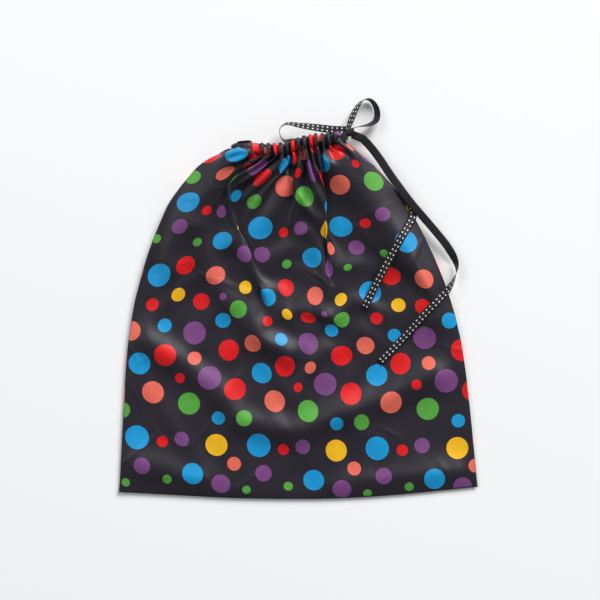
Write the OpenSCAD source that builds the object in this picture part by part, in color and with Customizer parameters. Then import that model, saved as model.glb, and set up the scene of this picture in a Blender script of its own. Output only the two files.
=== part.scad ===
// Drawstring dice bag of dotted cotton, lying on its back with the mouth drawn shut by a ribbon.
// Millimetres, Z up. X = 0, Y = 0 is the middle of the bag and Z = 0 is the table under it.
// The mouth points to +Y and the bow is tied at its right end.

/* [Bag] */
// Width across the bottom corners
bag_w = 275; // [230:1:320]
// Height from the lowest point of the hem to the top corner of the casing
bag_h = 280; // [240:1:320]
// Thickness of the cotton cloth
cloth_t = 0.6; // [0.4:0.05:0.8]
// How far the hem bows down between the corners
hem_sag = 5; // [0:0.5:10]
// Height of the front above the back along the hem
hem_h = 3; // [2.6:0.1:5]
// Height of the front above the back at half the bag's height
crown_h = 6; // [5:0.5:12]
// Height of the front's main folds, as a share of the drawn ones
fold_share = 1; // [0.4:0.1:1.2]
// Half width of a main fold
fold_w = 8; // [6:0.5:12]
// Width of the turned-in seam edges
seam_w = 8; // [5:0.5:12]

/* [Neck] */
// Width of the gathered neck
neck_w = 85; // [72:1:100]
// How far the neck's middle lies left of the bag's middle
neck_shift = 9; // [4:0.5:14]
// Slope of the gathered edge in degrees
neck_tilt = 6; // [0:0.5:9]
// Height of the drawstring casing
casing_h = 10; // [9:0.5:13]
// Number of gathers across the front
gathers = 8; // [6:1:11]
// Depth of a gather on the outside of the casing
gather_d = 3.2; // [2:0.1:4]
// Depth of a gather on the mouth side of the casing
inner_d = 2; // [1:0.1:2.5]
// Open gap of the mouth between the two casings
mouth_gap = 7; // [6:0.5:12]
// Thickness of the sewing thread
thread_d = 0.4; // [0.3:0.05:0.5]

/* [Ribbon] */
// Width of the ribbon
ribbon_w = 6; // [5:0.25:6.5]
// Thickness of the ribbon
ribbon_t = 0.5; // [0.3:0.05:0.7]
// Free space between the ribbon and the casing's lining
play = 0.35; // [0.3:0.05:0.6]
// Space kept between the tails and what they lie on
tail_play = 0.6; // [0.5:0.05:0.9]
// Half thickness of the knot
knot_r = 3.4; // [3.2:0.1:4.2]
// Height of the tails above the table between the knot and the shoulder
air_h = 10; // [8:0.5:12]

/* [Hidden] */

cloth_c = [0.17, 0.16, 0.18];
lining_c = [0.2, 0.19, 0.22];
thread_c = [0.1, 0.1, 0.11];
ribbon_c = [0.08, 0.08, 0.09];

// casing: the smallest half thickness, the middle heights of both halves and the turn at the left
half_min = play + ribbon_t / 2 + cloth_t;
turn_r = half_min + inner_d + mouth_gap / 2;
back_z = half_min + gather_d + thread_d / 2 + 0.1;
mid_z = back_z + turn_r;
front_z = mid_z + turn_r;
half_h = casing_h / 2;
exit_x = neck_w / 2;
turn_x = -neck_w / 2 + turn_r + half_min + gather_d;

// the neck's own frame: x along the gathered edge, y up the casing, in the middle of the casing
neck_x = -neck_shift;
neck_y = bag_h / 2 - half_h * cos(neck_tilt) - exit_x * sin(neck_tilt);

function from_neck(p) = [
  neck_x + p[0] * cos(neck_tilt) - p[1] * sin(neck_tilt),
  neck_y + p[0] * sin(neck_tilt) + p[1] * cos(neck_tilt),
  p[2]
];

module neck_place() {
  translate([neck_x, neck_y, 0])
    rotate(neck_tilt)
      children();
}

// both side edges, from the bottom corner to the lower corner of the casing
side_y = -bag_h / 2 + hem_sag;
left_end = from_neck([-exit_x, -half_h, 0]);
right_end = from_neck([exit_x, -half_h, 0]);
left_side = [[-bag_w / 2, side_y], [-bag_w / 2, 0], [-0.395 * bag_w, 0.438 * bag_h], left_end];
right_side = [[bag_w / 2, side_y], [bag_w / 2, 0], [0.433 * bag_w, 0.28 * bag_h], right_end];

function mix(a, b, k) = a * (1 - k) + b * k;

function bezier(c, t) =
  c[0] * pow(1 - t, 3) + c[1] * 3 * t * pow(1 - t, 2) + [c[2][0], c[2][1]] * 3 * t * t * (1 - t)
  + [c[3][0], c[3][1]] * pow(t, 3);

// a point of the cloth's plan: t runs up the side edges, k from -1 at the left to 1 at the right
function plan(t, k) = mix(bezier(left_side, t), bezier(right_side, t), (k + 1) / 2)
  - [0, hem_sag * (1 - k * k) * pow(1 - t, 6)];

// height of the front above the back, and how square its arch is
neck_h = front_z - cloth_t + 0.2;
belly_h = 2 * crown_h - (hem_h + neck_h) / 2;
function arch_h(t) = hem_h * pow(1 - t, 2) + 2 * belly_h * t * (1 - t) + neck_h * t * t;
function arch_n(t) = 6 - 2 * t;
function arch(t, k) = pow(max(0, 1 - pow(abs(k), arch_n(t))), 1 / arch_n(t));

// gathers fade out below the neck
gather_from = 0.5;
function fade(t) = pow(max(0, (t - gather_from) / (1 - gather_from)), 2);
function pleat(t, k) = -1.2 * fade(t) * cos(180 * gathers * (k + 1)) * arch(t, k);

// main folds of the front: ridge lines of [x, y, height], x and y as shares of the bag's width and height
fold_lines = [
  [[-0.175, 0.4, 4.5], [-0.255, 0.32, 5], [-0.365, 0.215, 3]],
  [[-0.17, 0.3, 2], [-0.215, 0.25, 6.5], [-0.18, 0.21, 7], [-0.145, 0.16, 6.5], [-0.11, 0.107, 6],
    [-0.08, 0.04, 4.5], [-0.02, -0.02, 4.5], [0.01, -0.05, 3]],
  [[0.075, 0.37, 3.5], [0.073, 0.28, 4], [0.073, 0.18, 3.5], [0.073, 0.107, 4.5], [0.1, 0.02, 4], [0.2, 0, 2.5]],
  [[0, 0.37, 3.5], [0, 0.27, 3], [0, 0.22, 2.5]],
  [[-0.11, 0.37, 3], [-0.11, 0.32, 3]]
];
function spot(q) = [q[0] * bag_w, q[1] * bag_h];
function beside(p, a, b) =
  let (d = b - a, u = max(0, min(1, ((p - a) * d) / (d * d)))) [u, norm(p - a - d * u)];
function ridge(p) = max([
  for (f = fold_lines, i = [0 : len(f) - 2])
    let (q = beside(p, spot(f[i]), spot(f[i + 1])))
    mix(f[i][2], f[i + 1][2], q[0]) * exp(-pow(q[1] / fold_w, 2))
]);
function fold(t, k) = fold_share * ridge(plan(t, k)) * arch(t, k) * min(1, (1 - t) / 0.12);

// height of the front's outside over any point of the plan
function across(x, t) =
  let (l = bezier(left_side, t)[0], r = bezier(right_side, t)[0]) 2 * (x - l) / (r - l) - 1;
function row_at(x, y, lo = 0, hi = 1, n = 14) =
  let (m = (lo + hi) / 2)
  n == 0 ? m :
  plan(m, max(-1, min(1, across(x, m))))[1] < y ? row_at(x, y, m, hi, n - 1) : row_at(x, y, lo, m, n - 1);
function front_top(x, y) =
  let (t = row_at(x, y), k = max(-1, min(1, across(x, t))))
  cloth_t + arch_h(t) * arch(t, k) + fold(t, k) + max(0, pleat(t, k));

// rings joined into a closed tube; a ring is a loop of points
module tube(rings) {
  n = len(rings[0]);
  last = len(rings) - 1;
  sides = [
    for (i = [0 : last - 1], j = [0 : n - 1])
      [i * n + j, i * n + (j + 1) % n, (i + 1) * n + (j + 1) % n, (i + 1) * n + j]
  ];
  halves = [for (f = sides) each [[f[0], f[1], f[2]], [f[0], f[2], f[3]]]];
  ends = [[for (j = [n - 1 : -1 : 0]) j], [for (j = [0 : n - 1]) last * n + j]];
  polyhedron([for (r = rings) each r], concat(halves, ends), convexity = 6);
}

function unit(v) = v / norm(v);
function tangent(p, i) = unit(p[min(i + 1, len(p) - 1)] - p[max(i - 1, 0)]);

// flat ribbon along points p; w holds the direction of its width at each point
module ribbon(p, w) {
  tube([
    for (i = [0 : len(p) - 1])
      let (
        t = tangent(p, i),
        side = unit(w[i] - t * (w[i] * t)) * ribbon_w / 2,
        face = unit(cross(t, side)) * ribbon_t / 2
      )
      [p[i] - side - face, p[i] - side + face, p[i] + side + face, p[i] + side - face]
  ]);
}

// smooth curve through points, with a number of steps between each two
function spline(p, steps) = [
  for (i = [0 : len(p) - 2], s = [0 : steps - 1])
    let (
      a = p[max(i - 1, 0)], b = p[i], c = p[i + 1], d = p[min(i + 2, len(p) - 1)], u = s / steps
    )
    b + (c - a) * u / 2 + (2 * a - 5 * b + 4 * c - d) * u * u / 2 + (3 * b - a - 3 * c + d) * u * u * u / 2,
  p[len(p) - 1]
];

// rows of [x, y, z, roll]: roll 0 lays the ribbon flat, 90 stands it on its edge
function place(rows) = [for (r = rows) [r[0], r[1], r[2]]];
function widths(rows) =
  let (p = place(rows))
  [
    for (i = [0 : len(rows) - 1])
      let (t = tangent(p, i), flat = unit(cross([0, 0, 1], t)), up = cross(t, flat))
      flat * cos(rows[i][3]) + up * sin(rows[i][3])
  ];

module rolled_ribbon(rows) {
  ribbon(place(rows), widths(rows));
}

// flat back, with its upper edge at the foot of the casing
edge_steps = 24;
module plan_outline() {
  polygon(concat(
    [for (i = [0 : edge_steps]) plan(i / edge_steps, -1)],
    [for (i = [edge_steps : -1 : 0]) plan(i / edge_steps, 1)],
    [for (i = [1 : edge_steps - 1]) plan(0, 1 - 2 * i / edge_steps)]
  ));
}

module back_panel() {
  color(cloth_c)
    linear_extrude(cloth_t)
      plan_outline();
}

// front: an arched shell that stands on the back along both sides and the hem
cols = 64;
rows = 26;
function col_k(j) = sin(90 * (2 * j / cols - 1));
function shell_row(t, gap, low) = [
  for (j = [0 : cols])
    let (
      k = col_k(j), l = bezier(left_side, t), r = bezier(right_side, t), e = plan(t, k),
      c = (l[0] + r[0]) / 2, in = (r[0] - l[0] - 2 * gap) / (r[0] - l[0])
    )
    [
      c + (e[0] - c) * in,
      e[1] + (1 - t) * gap,
      cloth_t + (low ? 0 : (arch_h(t) - gap) * arch(t, k) + fold(t, k) + pleat(t, k))
    ]
];

// both skins share the points of a corner where the hem's foot meets the side
function shell_id(i, j) = i == 0 && (j == 0 || j == cols) ? cols + 1 + j : i * (cols + 1) + j;

module front_panel() {
  outer = concat([shell_row(0, 0, true)], [for (i = [0 : rows]) shell_row(i / rows, 0, false)]);
  inner = concat([shell_row(0, cloth_t, true)], [for (i = [0 : rows]) shell_row(i / rows, cloth_t, false)]);
  last = rows + 1;
  half = (cols + 1) * (rows + 2);
  quads = [
    for (i = [0 : last - 1], j = [0 : cols - 1])
      [shell_id(i, j), shell_id(i + 1, j), shell_id(i + 1, j + 1), shell_id(i, j + 1)]
  ];
  skin = [
    for (q = quads, f = [[q[0], q[1], q[2]], [q[0], q[2], q[3]]])
      if (f[0] != f[1] && f[1] != f[2] && f[2] != f[0]) f
  ];
  rim = concat(
    [for (j = [0 : cols - 1]) [shell_id(0, j), shell_id(0, j + 1)]],
    [for (i = [1 : last - 1]) [shell_id(i, cols), shell_id(i + 1, cols)]],
    [for (j = [cols : -1 : 1]) [shell_id(last, j), shell_id(last, j - 1)]],
    [for (i = [last : -1 : 2]) [shell_id(i, 0), shell_id(i - 1, 0)]]
  );
  color(cloth_c)
    polyhedron(
      [for (r = concat(outer, inner)) each r],
      concat(
        skin,
        [for (f = skin) [f[2] + half, f[1] + half, f[0] + half]],
        [for (e = rim) each [[e[0], e[1], e[1] + half], [e[0], e[1] + half, e[0] + half]]]
      ),
      convexity = 10
    );
}

// half of the casing: a gathered sleeve that turns at the left end
sleeve_steps = 8 * gathers;
turn_steps = 8;
function outward(phase) = half_min + gather_d * (1 + cos(phase)) / 2;
function inward(phase) = half_min + inner_d * (1 - cos(phase)) / 2;
function sleeve_ring(at, n, phase, gap) =
  let (o = outward(phase) - gap, i = inward(phase) - gap, h = half_h - gap)
  [
    for (q = [[-0.7 * i, -h], [0.7 * o, -h], [o, -0.7 * h], [o, 0.6 * h], [0.6 * o, h], [-0.6 * i, h],
        [-i, 0.6 * h], [-i, -0.7 * h]])
      at + n * q[0] + [0, q[1], 0]
  ];
function sleeve_rings(gap) = [
  for (s = [0 : sleeve_steps])
    sleeve_ring([mix(exit_x, turn_x, s / sleeve_steps), 0, front_z], [0, 0, 1],
      180 + 360 * gathers * s / sleeve_steps, gap),
  for (s = [1 : turn_steps])
    let (a = 90 * s / turn_steps, n = [-sin(a), 0, cos(a)])
    sleeve_ring([turn_x, 0, mid_z] + n * turn_r, n, 180 + 2 * a, gap)
];

module sleeve() {
  outer = sleeve_rings(0);
  inner = sleeve_rings(cloth_t);
  n = 8;
  last = sleeve_steps + turn_steps;
  half = n * (last + 1);
  skin = [
    for (i = [0 : last - 1], j = [0 : n - 1])
      let (a = i * n + j, b = i * n + (j + 1) % n, c = a + n, d = b + n)
      each [[a, d, c], [a, b, d]]
  ];
  bore = [for (f = skin) [f[2] + half, f[1] + half, f[0] + half]];
  mouth = [
    for (j = [0 : n - 1])
      let (b = (j + 1) % n)
      each [[j, j + half, b + half], [j, b + half, b]]
  ];
  seam = [
    for (j = [0 : n - 1])
      let (a = last * n + j, b = last * n + (j + 1) % n)
      each [[a, b, b + half], [a, b + half, a + half]]
  ];
  polyhedron([for (r = concat(outer, inner)) each r], concat(skin, bore, mouth, seam), convexity = 10);
}

module front_casing() {
  color(cloth_c)
    neck_place()
      sleeve();
}

module back_casing() {
  color(cloth_c)
    neck_place()
      translate([0, 0, 2 * mid_z])
        mirror([0, 0, 1])
          sleeve();
}

// stitches along the foot of the casing, each sunk into the cloth
stitch_y = -0.45 * half_h;
module stitches() {
  for (s = [1 : 2 : sleeve_steps - 1]) {
    a = 180 + 360 * gathers * s / sleeve_steps;
    b = 180 + 360 * gathers * (s + 1) / sleeve_steps;
    p = [mix(exit_x, turn_x, s / sleeve_steps), stitch_y, front_z + outward(a)];
    q = [mix(exit_x, turn_x, (s + 1) / sleeve_steps), stitch_y, front_z + outward(b)];
    d = q - p;
    translate(mix(p, q, 0.1))
      rotate([0, acos(d[2] / norm(d)), atan2(d[1], d[0])])
        cylinder(h = 0.8 * norm(d), d = thread_d, $fn = 6);
  }
}

module front_stitching() {
  color(thread_c)
    neck_place()
      stitches();
}

module back_stitching() {
  color(thread_c)
    neck_place()
      translate([0, 0, 2 * mid_z])
        mirror([0, 0, 1])
          stitches();
}

// turned-in edges of both panels, two layers thick, lying on the back inside the seams
seam_in = 0.375 * seam_w;
seam_from = 0.01;
seam_to = 0.76;
seam_steps = 18;
function seam_t(i) = mix(seam_from, seam_to, i / seam_steps);

module side_strip(k) {
  translate([0, 0, cloth_t])
    linear_extrude(2 * cloth_t)
      polygon(concat(
        [for (i = [0 : seam_steps]) plan(seam_t(i), k) + [-k * seam_in, seam_in]],
        [for (i = [seam_steps : -1 : 0]) plan(seam_t(i), k) + [-k * (seam_in + seam_w), seam_in]]
      ));
}

module left_seam() {
  color(lining_c)
    side_strip(-1);
}

module right_seam() {
  color(lining_c)
    side_strip(1);
}

module bottom_seam() {
  reach = 1 - 2 * (seam_in + seam_w + 1) / bag_w;
  color(lining_c)
    translate([0, 0, cloth_t])
      linear_extrude(2 * cloth_t)
        polygon(concat(
          [for (i = [0 : edge_steps]) plan(0, reach * (2 * i / edge_steps - 1)) + [0, seam_in]],
          [for (i = [edge_steps : -1 : 0]) plan(0, reach * (2 * i / edge_steps - 1)) + [0, seam_in + seam_w]]
        ));
}

// ribbon inside the casing: knot, front half, turn at the left, back half, knot
knot_at = [exit_x + ribbon_w, 0.8 * half_h, mid_z + 1];
run_turn = 10;
run_out = [[-2.4, -2, 1.3], [-4, -3.5, 3]];
run_in = [[-4, -3.5, -3], [-2.4, -2, -1.3]];
module drawstring_run() {
  p = concat(
    [for (q = run_out) knot_at + q],
    [[exit_x, 0, front_z]],
    [for (i = [0 : run_turn]) let (a = 180 * i / run_turn) [turn_x - turn_r * sin(a), 0, mid_z + turn_r * cos(a)]],
    [[exit_x, 0, back_z]],
    [for (q = run_in) knot_at + q]
  );
  color(ribbon_c)
    neck_place()
      ribbon(p, [for (q = p) [0, 1, 0]]);
}

// ribbon wrapped round the foot of both loops and drawn tight
module bow_knot() {
  color(ribbon_c)
    neck_place()
      translate(knot_at)
        rotate([0, 90, 0])
          rotate_extrude($fn = 48)
            polygon([[0, -ribbon_w / 2], [knot_r - 0.8, -ribbon_w / 2], [knot_r, -ribbon_w / 4], [knot_r, ribbon_w / 4],
              [knot_r - 0.8, ribbon_w / 2], [0, ribbon_w / 2]]);
}

// loops, measured from the middle of the knot in the neck's frame: [x, y, z, roll]
loop_left_rows = [
  [-2, 1.8, 1.2, 0],
  [-7, 2.4, 1.4, 0],
  [-13, 3.4, 1.4, 5],
  [-24, 6, 1.4, 20],
  [-37, 9.2, 1.2, 45],
  [-46, 11.6, 0.6, 65],
  [-51, 10, -0.5, 80],
  [-53, 6, -1, 90],
  [-51, 0, -1.2, 105],
  [-45, -2.5, -1.4, 150],
  [-34, -3, -1.6, 180],
  [-18, -2, -1.6, 180],
  [-8, -1, -1.2, 180],
  [-2, 0, -0.8, 180]
];
module bow_loop_left() {
  color(ribbon_c)
    neck_place()
      translate(knot_at)
        rolled_ribbon(spline(loop_left_rows, 4));
}

loop_right_rows = [
  [-0.8, 2.6, 0.5, 120],
  [2, 9, -0.6, 135],
  [6.5, 17, -3, 130],
  [12, 23.5, -6, 105],
  [17.5, 24.5, -8, 80],
  [21.5, 20.5, -9, 60],
  [23, 14, -9, 45],
  [21.5, 8, -7.6, 45],
  [16, 4.8, -5, 60],
  [8, 3.8, -2, 80],
  [2.2, 2.6, 0.6, 90]
];
module bow_loop_right() {
  color(ribbon_c)
    neck_place()
      translate(knot_at)
        rolled_ribbon(spline(loop_right_rows, 4));
}

// loose ends over the right shoulder, from the knot: [x, y, lift above the cloth, roll, least height]
tail_start = from_neck(knot_at);
short_rows = [
  [10, -4.5, 0, 0, 1],
  [16, -10.5, 0, 0, 1],
  [23, -19.5, 0, 0, 1],
  [33, -34.5, 0, 0, 0.9],
  [42, -47, 0.2, 0, 0.5],
  [47, -55, 0.2, 0, 0],
  [48.5, -63, 0.2, 0, 0],
  [44, -72, 0, 0, 0],
  [38, -82, 0, 0, 0],
  [24, -108, 0, 0, 0],
  [11, -134, 0, 0, 0]
];
long_rows = [
  [10, -4.5, 1.9, 0, 1],
  [16, -10.5, 1.9, 0, 1],
  [23, -19.5, 1.9, 0, 1],
  [33, -34.5, 1.9, 0, 0.9],
  [47, -53.5, 4.6, 0, 0.6],
  [61, -69.5, 2.4, 0, 0.6],
  [74, -85, 1, 0, 0.7],
  [81, -97, 2.4, 45, 0.7],
  [82, -106, 3.4, 90, 0.7],
  [77, -117, 2.4, 135, 0.6],
  [68, -127, 0.4, 180, 0],
  [54, -142, 0, 180, 0],
  [39, -159, 0, 180, 0],
  [23, -175, 0, 180, 0]
];
function highest(x, y) = max([
  for (d = [[0, 0], [1, 0], [-1, 0], [0, 1], [0, -1]])
    front_top(x + d[0] * ribbon_w / 2, y + d[1] * ribbon_w / 2)
]);
function draped(rows) = [
  for (r = rows)
    let (x = tail_start[0] + r[0], y = tail_start[1] + r[1])
    [x, y, max(highest(x, y), air_h * r[4]) + ribbon_t / 2 + tail_play + r[2], r[3]]
];

module tail_short() {
  color(ribbon_c)
    rolled_ribbon(concat(
      [concat(tail_start + [2, -1.5, -1.2], 0)],
      draped(spline(short_rows, 4))
    ));
}

module tail_long() {
  color(ribbon_c)
    rolled_ribbon(concat(
      [concat(tail_start + [2, -1.5, 0.2], 0)],
      draped(spline(long_rows, 4))
    ));
}

back_panel();
front_panel();
front_casing();
back_casing();
left_seam();
right_seam();
bottom_seam();
front_stitching();
back_stitching();
drawstring_run();
bow_knot();
bow_loop_left();
bow_loop_right();
tail_short();
tail_long();
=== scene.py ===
# %% [markdown]
# # A drawstring dice bag of dotted cotton
# The bag lies on its back on a pale table, seen from straight above. Two panels of printed cotton are
# sewn together along both sides and the hem. The top of each panel is turned over into a casing, and a
# dotted ribbon runs through both casings, gathers them and is tied in a bow on the right.
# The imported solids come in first. They fix the size and the place of every piece.

import math

import bpy
import numpy as np
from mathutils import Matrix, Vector
from mathutils.bvhtree import BVHTree


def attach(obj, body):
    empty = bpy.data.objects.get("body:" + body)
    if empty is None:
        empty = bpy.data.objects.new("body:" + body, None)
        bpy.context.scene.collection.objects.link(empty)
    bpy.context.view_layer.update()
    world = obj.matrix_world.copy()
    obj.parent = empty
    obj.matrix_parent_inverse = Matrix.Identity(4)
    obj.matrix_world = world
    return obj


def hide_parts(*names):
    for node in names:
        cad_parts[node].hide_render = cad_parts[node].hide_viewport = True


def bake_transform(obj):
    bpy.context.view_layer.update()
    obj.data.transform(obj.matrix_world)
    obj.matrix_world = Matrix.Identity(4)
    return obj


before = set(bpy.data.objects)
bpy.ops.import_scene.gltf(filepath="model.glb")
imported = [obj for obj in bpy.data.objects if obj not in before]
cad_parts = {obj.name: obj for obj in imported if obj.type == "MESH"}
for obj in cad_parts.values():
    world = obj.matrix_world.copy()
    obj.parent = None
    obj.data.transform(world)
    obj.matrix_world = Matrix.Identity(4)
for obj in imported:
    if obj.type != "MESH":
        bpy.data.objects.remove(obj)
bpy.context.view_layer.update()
scene = bpy.context.scene
scene.view_settings.view_transform = "Standard"
MM = 0.001


def add_object(name, data):
    """A new object at the origin, in the scene."""
    made = bpy.data.objects.new(name, data)
    scene.collection.objects.link(made)
    return made


# %% [markdown]
# ## Camera
# The photograph looks straight down, so the camera hangs over the bag without any tilt. The width of
# the ribbon gives the scale: the picture is 461 mm wide at the height of the table.

# %% Camera
PICTURE_SPAN = 0.4608
CAMERA_HEIGHT = 1.2
PICTURE_MIDDLE = (0.00115, 0.0123)
camera = add_object("camera", bpy.data.cameras.new("camera"))
camera.data.angle = 2 * math.atan(PICTURE_SPAN / 2 / CAMERA_HEIGHT)
camera.location = (*PICTURE_MIDDLE, CAMERA_HEIGHT)
scene.camera = camera
print("camera angle", round(math.degrees(camera.data.angle), 1))

# %% [markdown]
# ## The neck's own frame
# The gathered edge slopes up to the right by six degrees. Everything at the neck is easier to place in
# a frame that slopes with it: x runs along the gathers, y up the casing, and z stays upright. Left of
# the middle the gathers sag by a few millimetres, and so does the ribbon inside them.

# %% Neck frame
NECK_MIDDLE = np.array([-9.0, 130.585]) * MM
NECK_TILT = math.radians(6)
NECK_WIDTH = 85 * MM
CASING_FOOT = -5 * MM
CASING_TOP = 4.6 * MM
NECK_SAG = 4 * MM
SAG_PLACE = -6 * MM
SAG_BREADTH = 14 * MM
SHOULDER_START = (-25 * MM, 32 * MM)
SHOULDER_LENGTH = (-17 * MM, 10 * MM)
SHOULDER_RISE = (7.5 * MM, 6 * MM)
FRONT_LEVEL = 18.1 * MM
BACK_LEVEL = 4.7 * MM
MIDDLE_LEVEL = 11.4 * MM


def ramp(value, start, length):
    """0 up to the start, then straight up to 1 over this length; a negative length runs the other way."""
    return np.clip((value - start) / length, 0, 1)


def ease(share):
    """A share from 0 to 1 that leaves and arrives softly."""
    return share ** 2 * (3 - 2 * share)


def from_neck(points):
    """Places in the scene for points that are given in the neck's frame."""
    points = np.asarray(points, float)
    c, s = math.cos(NECK_TILT), math.sin(NECK_TILT)
    placed = points.copy()
    placed[..., 0] = NECK_MIDDLE[0] + points[..., 0] * c - points[..., 1] * s
    placed[..., 1] = NECK_MIDDLE[1] + points[..., 0] * s + points[..., 1] * c
    return placed


def on_gathers(points):
    """Places in the scene for points that sag with the gathers."""
    points = np.array(points, float)
    points[..., 1] -= NECK_SAG * np.exp(-((points[..., 0] - SAG_PLACE) / SAG_BREADTH) ** 2)
    return from_neck(points)


def foot_height(x):
    """Height of the casing's foot in the neck's frame; at both ends the shoulders swell up beside it."""
    left, right = (ease(ramp(x, SHOULDER_START[end], SHOULDER_LENGTH[end])) for end in (0, 1))
    return CASING_FOOT + SHOULDER_RISE[0] * left + SHOULDER_RISE[1] * right


print("left end of the neck", from_neck([-NECK_WIDTH / 2, 0, 0])[:2].round(3))

# %% [markdown]
# ## The cut cloth
# Before it is sewn, each panel is a rectangle. The cloth keeps that flat shape as its pattern
# coordinates, because the print was on the cloth before anyone gathered it. A grid of points stands
# for each panel. Both grids share their points along the sides and the hem, which are the seams.

# %% Flat panels
CUT_WIDTH = 0.275
CUT_HEIGHT = 0.295
COLUMNS = 96
ROWS = 80
HEM_Y = -0.140
SEAM_STEPS = 4
START_HEIGHT = 3.2
START_GAP = 1.6
cloth_u = np.linspace(-CUT_WIDTH / 2, CUT_WIDTH / 2, COLUMNS + 1)
cloth_v = np.linspace(0, CUT_HEIGHT, ROWS + 1)
from_seam = np.minimum(np.arange(COLUMNS + 1), COLUMNS - np.arange(COLUMNS + 1))

points, patches = [], []
index = {}


def grid_point(side, row, column):
    """Number of a point of the front, side 1, or the back, side -1; seams have one point for both."""
    sewn = column in (0, COLUMNS) or row == 0
    key = (0 if sewn else side, row, column)
    if key not in index:
        from_sewn = min(1, min(COLUMNS - column, column, row) / SEAM_STEPS)
        height = (START_HEIGHT + START_GAP * side * from_sewn) * MM
        index[key] = len(points)
        points.append((cloth_u[column], HEM_Y + cloth_v[row], height))
    return index[key]


for side in (1, -1):
    for row in range(ROWS):
        for column in range(COLUMNS):
            corners = ((0, 0), (0, 1), (1, 1), (1, 0))
            patch = [grid_point(side, row + i, column + j) for i, j in corners]
            patches.append(patch if side > 0 else patch[::-1])

numbers = {
    side: np.array([[grid_point(side, row, column) for column in range(COLUMNS + 1)]
                    for row in range(ROWS + 1)])
    for side in (1, -1)
}
flat = np.array(points)
print("cloth points", len(flat))

# %% [markdown]
# ## Pleats at the neck
# The drawstring squeezes 275 mm of cloth into 85 mm. The cloth can only get shorter by folding, so the
# gathered edge is a row of pleats. In front a wide soft puff lies at each end, with small pleats between
# them. Each entry below is one pleat: the cloth in it, the width it takes on the neck, and its depth as a
# share of a round fold. A curve whose direction swings like a sine wave bends evenly, as cloth does.

# %% Pleats
PLEATS = {
    1: [(48, 23, .6), (15, 5, 1), (18, 5, 1), (15, 4.5, 1), (20, 5.5, 1), (13, 4, 1), (17, 5, 1),
        (15, 4.5, 1), (19, 5.5, 1), (14, 4.5, 1), (18, 5, 1), (16, 5, 1), (14, 4.5, 1), (26, 9, .8)],
    -1: [(18, 5, 1), (16, 5, 1), (20, 6, 1), (15, 5, 1), (19, 6, 1), (17, 5, 1), (20, 6, 1), (14, 5, 1),
         (18, 6, 1), (16, 5, 1), (19, 6, 1), (15, 5, 1), (18, 5, 1), (17, 5, 1), (18, 5, 1), (15, 5, 1)],
}
PLEAT_DEPTH = {1: 5.2 * MM, -1: 4.2 * MM}
EDGE_LEVEL = {1: FRONT_LEVEL + 2.6 * MM, -1: BACK_LEVEL + 0.3 * MM}
PLEAT_STEPS = 60
WIDEST_SWING = 2.35


def swing_for(ratio):
    """Largest swing of direction, in radians, that leaves this share of the length."""
    turn = np.linspace(0, math.pi, 400)
    low, high = 0, WIDEST_SWING
    for _ in range(40):
        middle = (low + high) / 2
        if np.cos(middle * np.sin(turn)).mean() > ratio:
            low = middle
        else:
            high = middle
    return low


def gathered_edge(pleats, depth_limit):
    """x and z of each column of the cloth on the neck, in the neck's frame."""
    cloth_sum = sum(p[0] for p in pleats)
    neck_sum = sum(p[1] for p in pleats)
    x, z, along = [0.0], [0.0], [0.0]
    step = np.arange(PLEAT_STEPS)
    for cloth, width, depth in pleats:
        cloth *= CUT_WIDTH / cloth_sum
        width *= NECK_WIDTH / neck_sum
        turn = swing_for(width / cloth) * np.sin(2 * math.pi * (step + .5) / PLEAT_STEPS)
        forward = np.cos(turn)
        forward *= width / forward.sum()
        rise = np.cumsum(np.sin(turn) * cloth / PLEAT_STEPS * depth)
        rise[-1] = 0
        x += list(x[-1] + np.cumsum(forward))
        z += list(rise)
        along += list(along[-1] + cloth * (step + 1) / PLEAT_STEPS)
    x = np.interp(cloth_u + CUT_WIDTH / 2, along, np.array(x)) - NECK_WIDTH / 2
    z = np.interp(cloth_u + CUT_WIDTH / 2, along, np.array(z))
    z -= (z.max() + z.min()) / 2
    return x, z * min(1, depth_limit / np.abs(z).max())


edge_x, edge_z = {}, {}
end_share = ease(np.minimum(1, from_seam / SEAM_STEPS))
for side in (1, -1):
    edge_x[side], wave = gathered_edge(PLEATS[side], PLEAT_DEPTH[side])
    edge_z[side] = MIDDLE_LEVEL * (1 - end_share) + (EDGE_LEVEL[side] + side * wave) * end_share
    print("pleats", len(PLEATS[side]), "depth in mm", round(float(np.ptp(wave)) / MM, 1))

# %% [markdown]
# ## Where the seams lie
# The sides of the lying bag are two smooth curves, drawn with four control points each. The hem bows
# down a little in the middle. The seams are only drawn softly towards these lines, so the cloth still
# wrinkles as it likes.

# %% Seam lines
NECK_ENDS = [from_neck([x, foot_height(x), 0])[:2] for x in (-NECK_WIDTH / 2, NECK_WIDTH / 2)]
HEM_ENDS = -.135
LEFT_CURVE = [(-.1375, HEM_ENDS), (-.1375, 0), (-.1086, .1226), NECK_ENDS[0]]
RIGHT_CURVE = [(.1375, HEM_ENDS), (.1375, 0), (.1191, .0784), NECK_ENDS[1]]
HEM_SAG = 5 * MM
HEM_HEIGHT = 2.2 * MM
SEAM_HEIGHT = 3.5
SEAM_RISE = 8
SIDE_HOLD = 0.4
HEM_HOLD = 0.6


def seam_line(control, count):
    """Evenly spaced points on the curve of four control points."""
    t = np.linspace(0, 1, 600)[:, None]
    a, b, c, d = (np.array(p, float) for p in control)
    line = (1 - t) ** 3 * a + 3 * t * (1 - t) ** 2 * b + 3 * t * t * (1 - t) * c + t ** 3 * d
    along = np.r_[0, np.cumsum(np.hypot(*np.diff(line, axis=0).T))]
    wanted = np.linspace(0, along[-1], count)
    return np.c_[np.interp(wanted, along, line[:, 0]), np.interp(wanted, along, line[:, 1])]


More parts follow.
